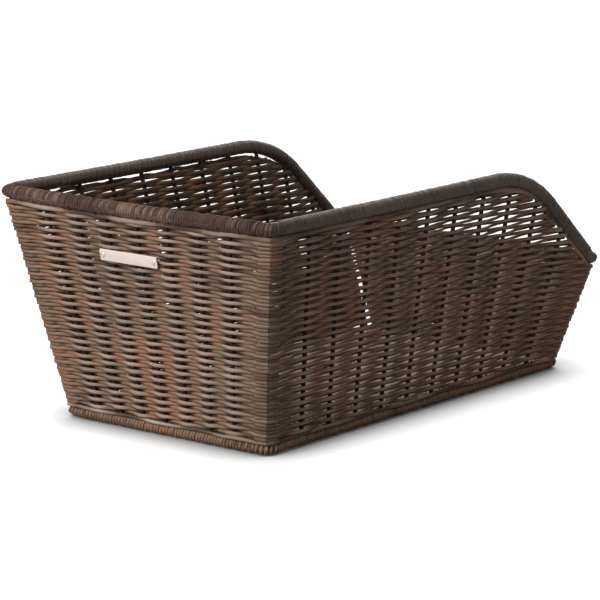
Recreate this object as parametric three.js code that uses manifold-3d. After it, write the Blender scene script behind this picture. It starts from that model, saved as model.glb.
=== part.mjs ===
// Bicycle basket for a carrier: a wire and cane frame, woven walls, a bound rim and a plaited foot.
// Millimetres, +Z up. The origin is on the floor under the middle of the basket, and +X points to
// the low end. The weave itself is left plain: each woven wall is a solid of its true outer shape.

import * as THREE from 'three';
import { mergeVertices } from 'three/addons/utils/BufferGeometryUtils.js';
import loadManifold from 'manifold-3d';

const wasm = await loadManifold();
wasm.setup();

// Overall sizes, measured over the borders
const RIM_LENGTH = 500;
const RIM_WIDTH = 322;
const TALL_END_HEIGHT = 216;
const LOW_END_HEIGHT = 119;
const FOOT_LENGTH = 448;
const FOOT_WIDTH = 241;
const FOOT_SHIFT = 16; // how far the middle of the foot lies ahead of the middle of the rim
const CORNER_RADIUS = 10; // plan radius of the middle of the walls, at every height

// The rim runs level from the tall end, bends down over a hump and slopes to the low end
const SLOPE_LENGTH = 120; // from the low end to where the slope would meet the level run
const HUMP_RADIUS = 132;
const LOW_BEND_RADIUS = 20;

// Borders and weave
const RIM_BORDER_DIAMETER = 15;
const FOOT_BORDER_WIDTH = 13;
const FOOT_BORDER_HEIGHT = 12;
const FOOT_BORDER_CHAMFER = 2.5;
const FOOT_BORDER_COVER = 3; // cane over the top of the foot hoop
const WALL_THICKNESS = 8;
const BASE_THICKNESS = 8;

// Frame inside the weave
const HOOP_DIAMETER = 6;
const POST_DIAMETER = 5;
const STAKE_DIAMETER = 4;
const BASE_BAR_DIAMETER = 5;
const END_STAKES = 7;
const SIDE_STAKES = 10;
const BASE_BARS = 3;

// Plate on the tall end, riveted through two gaps between stakes
const PLATE_HEIGHT = 10.5;
const PLATE_THICKNESS = 1.2;
const PLATE_LEVEL = 165; // height of its middle above the floor
const PLATE_MARGIN = 3.5; // from a rivet to the end of the plate
const PLATE_LEFT_PLACE = 2.83; // a rivet's place, in gaps between stakes from the left side
const PLATE_RIGHT_PLACE = 4.58;
const RIVET_DIAMETER = 2;
const RIVET_HEAD_DIAMETER = 4.4;
const RIVET_CROWN_DIAMETER = 2.6;
const RIVET_HEAD_HEIGHT = 1;

const CLEARANCE = 0.3; // between any two neighbours
const HOLE_REACH = 1; // how far a hole for a rod runs past the end of the rod
const SAME_POINT = 0.001;

// Facets
const ROD_SIDES = 8;
const BORDER_SIDES = 12;
const CORNER_STEPS = 2; // round half a corner
const BEND_SAG = 0.15; // the furthest that a facet of the rim's hump lies from the true arc
const SLOPE_STEPS = 3; // along the slope, where the wall twists
const WALL_STEPS = 4; // from foot to rim

const END_CANE = new THREE.MeshStandardMaterial({ color: '#7d5f50', roughness: 0.6, metalness: 0 });
const SIDE_CANE = new THREE.MeshStandardMaterial({ color: '#4a3a33', roughness: 0.65, metalness: 0 });
const BORDER_CANE = new THREE.MeshStandardMaterial({ color: '#3f3733', roughness: 0.6, metalness: 0 });
const STAKE_CANE = new THREE.MeshStandardMaterial({ color: '#5a4034', roughness: 0.6, metalness: 0 });
const BROWN_WIRE = new THREE.MeshStandardMaterial({ color: '#3a2c25', roughness: 0.45, metalness: 0.6 });
const CREAM_ENAMEL = new THREE.MeshStandardMaterial({ color: '#efe3d6', roughness: 0.5, metalness: 0.1 });
const PLAIN_STEEL = new THREE.MeshStandardMaterial({ color: '#a8a39c', roughness: 0.35, metalness: 1 });

const rimRadius = RIM_BORDER_DIAMETER / 2;
const hoopRadius = HOOP_DIAMETER / 2;
const boreRadius = hoopRadius + CLEARANCE;

// Levels of the two hoops: the rim's falls towards the low end
const footLevel = FOOT_BORDER_HEIGHT - FOOT_BORDER_COVER - hoopRadius;
const tallLevel = TALL_END_HEIGHT - rimRadius;
const lowLevel = LOW_END_HEIGHT - rimRadius;

// Sides in order round the basket, seen from the tall end, so that left is +Y
const SIDES = ['rear', 'right', 'front', 'left'];
const isLong = (side) => side % 2 === 1;
const stakeCount = (side) => (isLong(side) ? SIDE_STAKES : END_STAKES);

// A hoop's plan is a rectangle with round corners, kept as the corners' centres; corner i starts side i
function cornerCentres(middle, length, width) {
  const x = length / 2 - CORNER_RADIUS;
  const y = width / 2 - CORNER_RADIUS;
  return [
    new THREE.Vector2(middle - x, y),
    new THREE.Vector2(middle - x, -y),
    new THREE.Vector2(middle + x, -y),
    new THREE.Vector2(middle + x, y),
  ];
}
const rimCorners = cornerCentres(0, RIM_LENGTH - RIM_BORDER_DIAMETER, RIM_WIDTH - RIM_BORDER_DIAMETER);
const footCorners = cornerCentres(FOOT_SHIFT, FOOT_LENGTH - FOOT_BORDER_WIDTH, FOOT_WIDTH - FOOT_BORDER_WIDTH);

// The rim's side view: a level run, the hump's arc, a straight slope and a small arc in the low corner
const slopeTop = RIM_LENGTH / 2 - SLOPE_LENGTH;
const slopeFoot = RIM_LENGTH / 2 - rimRadius - CORNER_RADIUS / 2;
const fall = (tallLevel - lowLevel) / (slopeFoot - slopeTop);
const slopeAngle = Math.atan(fall);
const humpTangent = HUMP_RADIUS * Math.tan(slopeAngle / 2);
const lowTangent = LOW_BEND_RADIUS * Math.tan(slopeAngle / 2);
const humpStart = slopeTop - humpTangent;
const humpEnd = slopeTop + humpTangent * Math.cos(slopeAngle);
const lowStart = slopeFoot - lowTangent * Math.cos(slopeAngle);
const lowEnd = slopeFoot + lowTangent;
const humpSteps = Math.ceil(slopeAngle / (2 * Math.acos(1 - BEND_SAG / HUMP_RADIUS)));

function rimLevel(x) {
  if (x <= humpStart) {
    return tallLevel;
  }
  if (x < humpEnd) {
    return tallLevel - HUMP_RADIUS + Math.sqrt(HUMP_RADIUS ** 2 - (x - humpStart) ** 2);
  }
  if (x <= lowStart) {
    return tallLevel - (x - slopeTop) * fall;
  }
  if (x < lowEnd) {
    return lowLevel + LOW_BEND_RADIUS - Math.sqrt(LOW_BEND_RADIUS ** 2 - (lowEnd - x) ** 2);
  }
  return lowLevel;
}

// How much the rim falls for each millimetre towards the low end
function rimFall(x) {
  if (x <= humpStart || x >= lowEnd) {
    return 0;
  }
  if (x < humpEnd) {
    return (x - humpStart) / Math.sqrt(HUMP_RADIUS ** 2 - (x - humpStart) ** 2);
  }
  if (x <= lowStart) {
    return fall;
  }
  return (lowEnd - x) / Math.sqrt(LOW_BEND_RADIUS ** 2 - (lowEnd - x) ** 2);
}

// A station is an upright line of the basket, straight from the foot hoop to the rim hoop.
// share runs along the straight stretch of a side, and turn is how far the outward direction is
// turned from the side's own, within half a corner. footRun and rimRun point along the two hoops, and
// rimUp is square to the outward direction and to the rim.
function station(side, share, turn) {
  const angle = Math.PI + (side * Math.PI) / 2 + turn;
  const outward = new THREE.Vector3(Math.cos(angle), Math.sin(angle), 0);
  const onHoop = (corners) => corners[side].clone()
    .lerp(corners[(side + 1) % SIDES.length], share)
    .addScaledVector(outward, CORNER_RADIUS);
  const low = onHoop(footCorners);
  const high = onHoop(rimCorners);
  const slope = rimFall(high.x) * outward.y;
  const footRun = new THREE.Vector3(-outward.y, outward.x, 0);
  const rimRun = new THREE.Vector3(-outward.y, outward.x, slope).normalize();
  return {
    outward,
    footRun,
    rimRun,
    rimUp: outward.clone().cross(rimRun),
    slope: Math.abs(slope),
    low: new THREE.Vector3(low.x, low.y, footLevel),
    high: new THREE.Vector3(high.x, high.y, rimLevel(high.x)),
  };
}

// A point on a station at a height above the floor, moved outwards from the middle of the wall
function pointAt(place, height, out) {
  const share = (height - place.low.z) / (place.high.z - place.low.z);
  return place.low.clone().lerp(place.high, share).addScaledVector(place.outward, out);
}

// The shares at which a long side bends at the rim, from rear to front
function bendShares() {
  const rear = rimCorners[0].x;
  const front = rimCorners[2].x;
  const bends = [];
  for (let i = 0; i < humpSteps; i += 1) {
    bends.push(humpStart + HUMP_RADIUS * Math.sin((slopeAngle * i) / humpSteps));
  }
  for (let i = 0; i < SLOPE_STEPS; i += 1) {
    bends.push(humpEnd + ((front - humpEnd) * i) / SLOPE_STEPS);
  }
  return bends.map((x) => (x - rear) / (front - rear));
}

// The stations of one side, from the middle of one corner to the middle of the next
function sideStations(side, shares) {
  const halfCorner = Math.PI / 4 - CLEARANCE / 2 / CORNER_RADIUS;
  const stations = [];
  for (let i = CORNER_STEPS; i >= 0; i -= 1) {
    stations.push(station(side, 0, (-halfCorner * i) / CORNER_STEPS));
  }
  for (const share of shares) {
    stations.push(station(side, share, 0));
  }
  for (let i = 0; i <= CORNER_STEPS; i += 1) {
    stations.push(station(side, 1, (halfCorner * i) / CORNER_STEPS));
  }
  return stations;
}

function rimShares(side) {
  if (!isLong(side)) {
    return [];
  }
  const shares = bendShares();
  return SIDES[side] === 'right' ? shares : shares.map((share) => 1 - share).reverse();
}

// The two lines that hoops and borders follow
const straightUp = new THREE.Vector3(0, 0, 1);
const rimLine = {
  stations: SIDES.map((name, side) => sideStations(side, rimShares(side))),
  centre: (place) => place.high,
  up: (place) => place.rimUp,
};
const footLine = {
  stations: SIDES.map((name, side) => sideStations(side, [])),
  centre: (place) => place.low,
  up: () => straightUp,
};

// A point beside a line at one of its stations
function besideLine(line, place, out, up) {
  const middle = line.centre(place).clone();
  return middle.addScaledVector(place.outward, out).addScaledVector(line.up(place), up);
}

// Only positions are kept, so that corners which meet can be joined
function joined(geometry) {
  geometry.deleteAttribute('normal');
  geometry.deleteAttribute('uv');
  return mergeVertices(geometry, SAME_POINT);
}

// Moves every corner of a geometry to a new place
function bend(geometry, newPlace) {
  const position = geometry.getAttribute('position');
  const corner = new THREE.Vector3();
  for (let i = 0; i < position.count; i += 1) {
    corner.fromBufferAttribute(position, i);
    position.setXYZ(i, ...newPlace(corner).toArray());
  }
  return joined(geometry);
}

function solidOf(geometry) {
  const plain = joined(geometry.clone());
  return new wasm.Manifold(new wasm.Mesh({
    numProp: 3,
    vertProperties: new Float32Array(plain.getAttribute('position').array),
    triVerts: new Uint32Array(plain.getIndex().array),
  }));
}

// Cuts holes in a geometry; each hole is a mesh in the basket's own frame
function drilled(geometry, holes) {
  let solid = solidOf(geometry);
  for (const hole of holes) {
    hole.updateMatrix();
    solid = solid.subtract(solidOf(hole.geometry.clone().applyMatrix4(hole.matrix)));
  }
  const mesh = solid.getMesh();
  const result = new THREE.BufferGeometry();
  result.setAttribute('position', new THREE.BufferAttribute(mesh.vertProperties, 3));
  result.setIndex(new THREE.BufferAttribute(mesh.triVerts, 1));
  result.computeVertexNormals();
  return result;
}

function piece(name, geometry, material) {
  const mesh = new THREE.Mesh(geometry, material);
  mesh.name = name;
  return mesh;
}

// A round rod between two points, as a cylinder that is turned and moved into place
function rod(name, start, end, diameter, material) {
  const along = end.clone().sub(start);
  const cylinder = new THREE.CylinderGeometry(diameter / 2, diameter / 2, along.length(), ROD_SIDES);
  const mesh = piece(name, cylinder, material);
  mesh.position.copy(start).lerp(end, 0.5);
  mesh.quaternion.setFromUnitVectors(new THREE.Vector3(0, 1, 0), along.normalize());
  return mesh;
}

// The hole that a rod runs in is wider, and runs on past both ends of the rod
function holeFor(start, end, diameter) {
  const along = end.clone().sub(start).normalize();
  const from = start.clone().addScaledVector(along, -HOLE_REACH);
  const to = end.clone().addScaledVector(along, HOLE_REACH);
  return rod('hole', from, to, diameter + 2 * CLEARANCE);
}

// The ends of a rod along a station, each clear of its hoop. Where a rod meets the hoop askew, the edge
// of its end reaches further towards the hoop, so the rod stops earlier.
function uprightEnds(place, diameter) {
  const along = place.high.clone().sub(place.low).normalize();
  const gapTo = (hoopRun) => {
    const askew = Math.abs(along.dot(hoopRun));
    return (boreRadius + (diameter / 2) * askew) / Math.sqrt(1 - askew ** 2);
  };
  return [
    place.low.clone().addScaledVector(along, gapTo(place.footRun)),
    place.high.clone().addScaledVector(along, -gapTo(place.rimRun)),
  ];
}

const basket = new THREE.Group();
const holes = SIDES.map(() => []); // through each side's wall and borders

// Hoops: a closed ring of wire at the rim and another at the foot
function hoop(line) {
  const places = line.stations.flatMap((stations) => stations.slice(0, -1));
  const ringRadius = HOOP_DIAMETER;
  const ring = new THREE.TorusGeometry(ringRadius, hoopRadius, ROD_SIDES, places.length);
  return bend(ring, (corner) => {
    const turns = Math.atan2(corner.y, corner.x) / (2 * Math.PI);
    const place = places.at(Math.round(turns * places.length) % places.length);
    return besideLine(line, place, Math.hypot(corner.x, corner.y) - ringRadius, corner.z);
  });
}
basket.add(piece('rim_hoop', hoop(rimLine), BROWN_WIRE));
basket.add(piece('foot_hoop', hoop(footLine), BROWN_WIRE));

// Corner posts: one at the start of each side, half in this wall and half in the one before
SIDES.forEach((name, side) => {
  const before = (side + SIDES.length - 1) % SIDES.length;
  const ends = uprightEnds(station(side, 0, -Math.PI / 4), POST_DIAMETER);
  basket.add(rod(`corner_post_${SIDES[before]}_${name}`, ...ends, POST_DIAMETER, BROWN_WIRE));
  holes[side].push(holeFor(...ends, POST_DIAMETER));
  holes[before].push(holeFor(...ends, POST_DIAMETER));
});

// Stakes: evenly spaced along the straight stretch of each side
SIDES.forEach((name, side) => {
  for (let i = 1; i <= stakeCount(side); i += 1) {
    const ends = uprightEnds(station(side, i / (stakeCount(side) + 1), 0), STAKE_DIAMETER);
    basket.add(rod(`stake_${name}_${i}`, ...ends, STAKE_DIAMETER, STAKE_CANE));
    holes[side].push(holeFor(...ends, STAKE_DIAMETER));
  }
});

// Base bars: lengthwise from hoop to hoop, evenly spaced between the round corners
const barHoles = [];
const rearBarEnd = footCorners[0].x - CORNER_RADIUS + boreRadius;
const frontBarEnd = footCorners[2].x + CORNER_RADIUS - boreRadius;
for (let i = 1; i <= BASE_BARS; i += 1) {
  const y = footCorners[0].y * ((2 * i) / (BASE_BARS + 1) - 1);
  const ends = [new THREE.Vector3(rearBarEnd, y, footLevel), new THREE.Vector3(frontBarEnd, y, footLevel)];
  basket.add(rod(`base_bar_${i}`, ...ends, BASE_BAR_DIAMETER, BROWN_WIRE));
  barHoles.push(holeFor(...ends, BASE_BAR_DIAMETER));
}

// Base: a woven panel inside the foot border, with the bars through it
function basePanel() {
  const radius = CORNER_RADIUS - FOOT_BORDER_WIDTH / 2 - CLEARANCE;
  const outline = new THREE.Shape();
  footCorners.forEach((corner, i) => {
    const start = ((i + 1) * Math.PI) / 2;
    outline.absarc(corner.x, corner.y, radius, start, start + Math.PI / 2);
  });
  const panel = new THREE.ExtrudeGeometry(outline, {
    depth: BASE_THICKNESS,
    bevelEnabled: false,
    curveSegments: CORNER_STEPS,
  });
  return panel.translate(0, 0, footLevel - BASE_THICKNESS / 2);
}
basket.add(piece('base_weave', drilled(basePanel(), barHoles), SIDE_CANE));

// Walls: a woven slab on each side, from the foot border to the rim border, mitred at the corners
function wallSlab(side) {
  const stations = rimLine.stations[side];
  const steps = stations.length - 1;
  const bottom = FOOT_BORDER_HEIGHT + CLEARANCE;
  const slab = new THREE.BoxGeometry(1, 1, 1, steps, 1, WALL_STEPS);
  return bend(slab, (corner) => {
    const place = stations[Math.round((corner.x + 0.5) * steps)];
    const top = place.high.z - (rimRadius + CLEARANCE) * Math.hypot(1, place.slope);
    const height = THREE.MathUtils.lerp(bottom, top, corner.z + 0.5);
    return pointAt(place, height, -corner.y * WALL_THICKNESS);
  });
}

// Borders: a straight extrusion of the section, bent along one side of a line. The section is drawn
// as seen along the run, so its x points inwards.
function border(side, section, line) {
  const stations = line.stations[side];
  const steps = stations.length - 1;
  const straight = new THREE.ExtrudeGeometry(section, { depth: 1, steps, bevelEnabled: false });
  return bend(straight, (corner) => {
    return besideLine(line, stations[Math.round(corner.z * steps)], -corner.x, corner.y);
  });
}

function circlePoints(radius, count) {
  const points = [];
  for (let i = 0; i < count; i += 1) {
    const angle = (2 * Math.PI * (i + 0.5)) / count;
    points.push(new THREE.Vector2(radius * Math.cos(angle), radius * Math.sin(angle)));
  }
  return points;
}

// The hoop's bore has its flats, not its corners, at the bore radius
function hoopBore() {
  return new THREE.Path(circlePoints(boreRadius / Math.cos(Math.PI / ROD_SIDES), ROD_SIDES));
}

function rimSection() {
  const section = new THREE.Shape(circlePoints(rimRadius, BORDER_SIDES));
  section.holes.push(hoopBore());
  return section;
}

// The foot's section is flat below, where the basket stands, and its long edges are eased
function footSection() {
  const half = FOOT_BORDER_WIDTH / 2;
  const eased = half - FOOT_BORDER_CHAMFER;
  const bottom = -footLevel;
  const top = FOOT_BORDER_HEIGHT - footLevel;
  const section = new THREE.Shape();
  section.moveTo(-eased, bottom);
  section.lineTo(eased, bottom);
  section.lineTo(half, bottom + FOOT_BORDER_CHAMFER);
  section.lineTo(half, top - FOOT_BORDER_CHAMFER);
  section.lineTo(eased, top);
  section.lineTo(-eased, top);
  section.lineTo(-half, top - FOOT_BORDER_CHAMFER);
  section.lineTo(-half, bottom + FOOT_BORDER_CHAMFER);
  section.holes.push(hoopBore());
  return section;
}

// Plate and rivets: a group that lies square to the tall end's leaning wall, with z pointing out of it
const rivetPlaces = [PLATE_LEFT_PLACE, PLATE_RIGHT_PLACE].map((place) => {
  return pointAt(station(0, place / (END_STAKES + 1), 0), PLATE_LEVEL, 0);
});
const wallLean = Math.atan2(rimCorners[0].x - footCorners[0].x, tallLevel - footLevel);
const wallReach = (WALL_THICKNESS / 2) * Math.cos(wallLean); // half the wall, square to its face
const rivetSpacing = rivetPlaces[0].distanceTo(rivetPlaces[1]);
const plateGroup = new THREE.Group();
plateGroup.position.copy(rivetPlaces[0]).lerp(rivetPlaces[1], 0.5);
plateGroup.rotation.set(Math.PI / 2, wallLean, -Math.PI / 2, 'YZX');
basket.add(plateGroup);

function plate() {
  const outline = new THREE.Shape();
  const length = rivetSpacing + 2 * PLATE_MARGIN;
  outline.moveTo(-length / 2, -PLATE_HEIGHT / 2);
  outline.lineTo(length / 2, -PLATE_HEIGHT / 2);
  outline.lineTo(length / 2, PLATE_HEIGHT / 2);
  outline.lineTo(-length / 2, PLATE_HEIGHT / 2);
  for (const side of [-1, 1]) {
    const hole = circlePoints(RIVET_DIAMETER / 2 + CLEARANCE, ROD_SIDES);
    outline.holes.push(new THREE.Path(hole.map((point) => point.setX(point.x + (side * rivetSpacing) / 2))));
  }
  return new THREE.ExtrudeGeometry(outline, { depth: PLATE_THICKNESS, bevelEnabled: false });
}

// A rivet turned about its axis: a head inside the wall, a shank through the weave, a head on the plate
function rivet() {
  const shank = RIVET_DIAMETER / 2;
  const head = RIVET_HEAD_DIAMETER / 2;
  const inside = -wallReach - CLEARANCE;
  const outside = wallReach + PLATE_THICKNESS + 2 * CLEARANCE;
  const profile = [
    new THREE.Vector2(0, inside - RIVET_HEAD_HEIGHT),
    new THREE.Vector2(head, inside - RIVET_HEAD_HEIGHT),
    new THREE.Vector2(head, inside),
    new THREE.Vector2(shank, inside),
    new THREE.Vector2(shank, outside),
    new THREE.Vector2(head, outside),
    new THREE.Vector2(RIVET_CROWN_DIAMETER / 2, outside + RIVET_HEAD_HEIGHT),
    new THREE.Vector2(0, outside + RIVET_HEAD_HEIGHT),
  ];
  return new THREE.LatheGeometry(profile, ROD_SIDES);
}

const namePlate = piece('name_plate', plate(), CREAM_ENAMEL);
namePlate.position.z = wallReach + CLEARANCE;
plateGroup.add(namePlate);
plateGroup.updateMatrix();
const plateOut = new THREE.Vector3(0, 0, 1).transformDirection(plateGroup.matrix);
['left', 'right'].forEach((name, i) => {
  const mesh = piece(`plate_rivet_${name}`, rivet(), PLAIN_STEEL);
  mesh.rotation.x = Math.PI / 2;
  mesh.position.x = (i - 0.5) * rivetSpacing;
  plateGroup.add(mesh);
  const inside = rivetPlaces[i].clone().addScaledVector(plateOut, -WALL_THICKNESS);
  const outside = rivetPlaces[i].clone().addScaledVector(plateOut, WALL_THICKNESS);
  holes[0].push(holeFor(inside, outside, RIVET_DIAMETER));
});

SIDES.forEach((name, side) => {
  const wallCane = isLong(side) ? SIDE_CANE : END_CANE;
  const footHoles = isLong(side) ? holes[side] : [...holes[side], ...barHoles];
  basket.add(piece(`wall_weave_${name}`, drilled(wallSlab(side), holes[side]), wallCane));
  basket.add(piece(`rim_border_${name}`, drilled(border(side, rimSection(), rimLine), holes[side]), BORDER_CANE));
  basket.add(piece(`foot_border_${name}`, drilled(border(side, footSection(), footLine), footHoles), BORDER_CANE));
});

export default basket;
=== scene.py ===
"""The looks of a woven carrier basket, built around its packed model as a small add-on."""
import math
import random
from functools import partial

import bmesh
import bpy
from bpy.props import FloatProperty, FloatVectorProperty, IntProperty, PointerProperty
from mathutils import Matrix, Vector


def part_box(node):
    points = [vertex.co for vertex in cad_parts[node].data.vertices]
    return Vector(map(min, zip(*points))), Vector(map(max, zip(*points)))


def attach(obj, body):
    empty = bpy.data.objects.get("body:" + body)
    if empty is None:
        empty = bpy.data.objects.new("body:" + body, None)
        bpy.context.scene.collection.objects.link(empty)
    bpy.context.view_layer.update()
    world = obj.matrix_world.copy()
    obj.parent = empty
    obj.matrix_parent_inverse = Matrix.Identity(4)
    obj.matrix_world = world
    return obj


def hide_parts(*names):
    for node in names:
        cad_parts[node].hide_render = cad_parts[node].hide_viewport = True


bl_info = {
    "name": "Woven carrier basket",
    "version": (1, 0, 0),
    "blender": (4, 5, 0),
    "location": "3D View > Sidebar > Basket",
    "description": "Weaves a carrier basket of cane around its packed frame",
    "category": "Object",
}

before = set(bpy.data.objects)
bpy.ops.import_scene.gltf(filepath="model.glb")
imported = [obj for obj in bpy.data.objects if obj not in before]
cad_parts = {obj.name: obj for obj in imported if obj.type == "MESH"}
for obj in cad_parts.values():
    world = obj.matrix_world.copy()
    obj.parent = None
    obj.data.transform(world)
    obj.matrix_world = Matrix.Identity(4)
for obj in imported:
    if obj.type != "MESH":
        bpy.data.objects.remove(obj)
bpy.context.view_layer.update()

SIDES = ("rear", "right", "front", "left")  # in order round the basket, seen from above
WEAVING_ORDER = ("left", "rear", "right", "front")  # a row starts and ends at the front left corner
LONG_SIDES = ("left", "right")
BASE_BARS = ("base_bar_1", "base_bar_2", "base_bar_3")
RIVETS = ("plate_rivet_left", "plate_rivet_right")
HOOPS = ("rim_hoop", "foot_hoop")
BODY = "root"
MM = 0.001
WHITE = (1.0, 1.0, 1.0, 1.0)
HALF_CORNER = math.pi / 4  # the turn from a wall to the middle of its corner

# Uprights in one wave: a plain row goes over one and under one, a wale over two and under one
ROW_WAVE = 2.0
WALE_WAVE = 3.0

# How finely the shapes are drawn
ROW_STEPS = 10  # points of a row between two uprights
BORDER_STEPS = 8  # points of a border between two uprights
CORNER_STEPS = 4  # points round half a corner
STRAND_SIDES = 8
TURN_STEPS = 10  # points of a binding in one turn
BINDING_SIDES = 6
CORE_SIDES = 12
ROD_BENDS = 14  # points along a stake, a post or a bar
ROD_SIDES = 10
ARC_STEPS = 6  # points round a quarter of the plate's corner or of a rivet's dome
RIVET_SIDES = 20

# Noise runs from 0 to 1, and strays this far to either side of its middle
NOISE_MIDDLE = 0.5


def linear(code):
    """An sRGB hex colour as linear red, green, blue and alpha."""
    shares = [int(code[i:i + 2], 16) / 255 for i in (1, 3, 5)]
    curve = [c / 12.92 if c <= 0.04045 else ((c + 0.055) / 1.055) ** 2.4 for c in shares]
    return (*curve, 1.0)


def length(label, meaning, millimetres):
    """A size that a user can set, kept in metres."""
    return FloatProperty(
        name=label, description=meaning, default=millimetres * MM, unit="LENGTH", precision=4
    )


def spot(label, meaning, millimetres):
    """A point that a user can set, kept in metres."""
    return FloatVectorProperty(
        name=label, description=meaning, default=[c * MM for c in millimetres], subtype="TRANSLATION"
    )


def angle(label, meaning, degrees):
    """An angle that a user can set, kept in radians."""
    return FloatProperty(name=label, description=meaning, default=math.radians(degrees), unit="ROTATION")


def count(label, meaning, value):
    """A whole number that a user can set."""
    return IntProperty(name=label, description=meaning, default=value, min=1)


def share(label, meaning, value):
    """A share from 0 to 1 that a user can set."""
    return FloatProperty(
        name=label, description=meaning, default=value, min=0.0, max=1.0, subtype="FACTOR"
    )


def factor(label, meaning, value):
    """A plain number above zero that a user can set."""
    return FloatProperty(name=label, description=meaning, default=value, min=0.1)


def watts(label, meaning, value):
    """The power of a lamp that a user can set."""
    return FloatProperty(name=label, description=meaning, default=value, min=0.0, unit="POWER")


def colour(label, meaning, code):
    """A colour that a user can set, written as an sRGB hex value."""
    return FloatVectorProperty(
        name=label, description=meaning, default=linear(code), size=4, min=0, max=1, subtype="COLOR"
    )


# Sizes and colours


class BasketShape(bpy.types.PropertyGroup):
    """The lines that the basket is woven on"""

    hoop: length("Hoop radius", "Radius of the wire hoops in the packed frame", 3)
    corner: length("Corner radius", "Radius of the corners seen from above", 10)
    slope_top: length("Slope top", "Where the slope would meet the level rim, from the middle", 130)
    slope_foot: length("Slope foot", "Where the slope would meet the low end, from the middle", 237.5)
    hump: length("Hump radius", "Radius of the bend from the level rim into the slope", 132)
    low_bend: length("Low bend radius", "Radius of the bend at the bottom of the slope", 20)
    sag: length("Rim sag", "How far a rim hangs between its corners", 1.2)
    wall_sharpness: share("Wall sharpness", "How far the walls are pulled out into sharp corners", 0.55)
    border_sharpness: share("Border sharpness", "How far the borders are pulled out into corners", 0.5)
    hug_over: length("Hug length", "How far from a corner post the rows are still drawn outside it", 6)
    end_stakes: count("End stakes", "Stakes in the tall end and in the low end", 7)
    side_stakes: count("Side stakes", "Stakes in each long side", 10)
    stake: length("Stake diameter", "Diameter of a stake", 4)
    post: length("Post diameter", "Diameter of a corner post or a bar of the base", 5)
    crooked: length("Crookedness", "How far a stake strays from a straight line", 0.8)
    crooked_over: length("Crookedness length", "The length over which a stake strays", 45)


class WeaveSizes(bpy.types.PropertyGroup):
    """The strands of the walls and the base"""

    pitch: length("Row pitch", "From one row to the next", 3.4)
    base_tall: length("Base strand width", "Width of a strand in the base", 5.2)
    thick: length("Strand thickness", "Thickness of a strand through the wall", 2.4)
    sway: length("Sway", "How far a strand leaves the middle of the wall at a stake", 3.2)
    plain_peak: factor("Plain peak", "How quickly a strand comes back in the base or in a wale", 0.5)
    hug: share("Corner hug", "How far every row is drawn outside a corner post", 0.92)
    first: length("First row", "First row above the foot hoop", 5.8)
    slot: count("Slot", "Points left out where the rows start and end, which leaves a slot there", 3)
    wander: length("Wander", "How far a strand strays from its even course", 2.2)
    wander_over: length("Wander length", "The length over which a strand strays", 26)
    drift: length("Drift", "How far a band of rows rises and falls along a wall", 3.0)
    drift_over: length("Drift length", "The length over which a band of rows rises and falls", 110)
    uneven: share("Uneven thickness", "How much a strand swells and thins", 0.8)
    uneven_over: length("Swelling length", "The length over which a strand swells and thins", 50)
    crowd_over: length("Crowding", "How far below the rim the strands are crowded", 24)
    wale_pitch: length("Wale pitch", "From one row of a wale to the next", 3.5)
    wale_tall: length("Wale height", "Height of a strand of a wale", 4.4)
    wale_out: length("Wale stand-off", "How far a wale lies outside the middle of the wall", 2.2)
    wale_sway: length("Wale sway", "How far a strand of a wale moves in and out", 0.8)
    # The foot strand's paleness is a painted highlight
    foot_tall: length("Foot strand height", "Height of the pale strand along the foot", 3.2)
    foot_out: length("Foot strand stand-off", "How far it lies outside the middle of the wall", 3.2)
    wale_rows: count("Wale rows", "Rows of the wale below the rim", 1)
    foot_rows: count("Foot wale rows", "Rows of the wale above the foot", 1)
    tuck: share("Tuck", "How far the rows run on behind the wale, of its height", 0.7)
    cut_end: length("Cut end", "Length of the cut end of a strand, which sticks out inside", 16)
    seed: count("Seed", "Changes the chance in the weave", 7)


def side_weave(side, meaning, tall, peak, packed, at_rim, loose, rim_gap):
    """A group of the sizes in which the rows of one wall differ from those of the others."""
    sizes = {
        "tall": length("Strand height", "Height of a strand", tall),
        "peak": factor("Peak", "How quickly a strand comes back into the wall beside a stake", peak),
        "packed": share("Packed", "How much fuller the strands are at the foot of the wall", packed),
        "at_rim": factor("Fullness at rim", "Height of a strand below the rim, of its usual one", at_rim),
        "loose": length("Loose", "How far the strand below the rim strays from its even course", loose),
        "rim_gap": length("Rim gap", "Where the rows stop below the rim hoop", rim_gap),
    }
    contents = {"__doc__": meaning, "__annotations__": sizes}
    return type(side.capitalize() + "Weave", (bpy.types.PropertyGroup,), contents)


RearWeave = side_weave(
    "rear", "The rows of the tall end",
    tall=3.1, peak=2.2, packed=0.15, at_rim=1.0, loose=4, rim_gap=6.6,
)
RightWeave = side_weave(
    "right", "The rows of the right side",
    tall=2.9, peak=1.5, packed=0.15, at_rim=1.5, loose=3.6, rim_gap=6.2,
)
FrontWeave = side_weave(
    "front", "The rows of the low end",
    tall=5.2, peak=0.6, packed=0.15, at_rim=1.2, loose=4, rim_gap=6.6,
)
LeftWeave = side_weave(
    "left", "The rows of the left side, which lets light through below its rim",
    tall=4.15, peak=1.5, packed=0.3, at_rim=1.0, loose=9, rim_gap=8.2,
)


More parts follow.
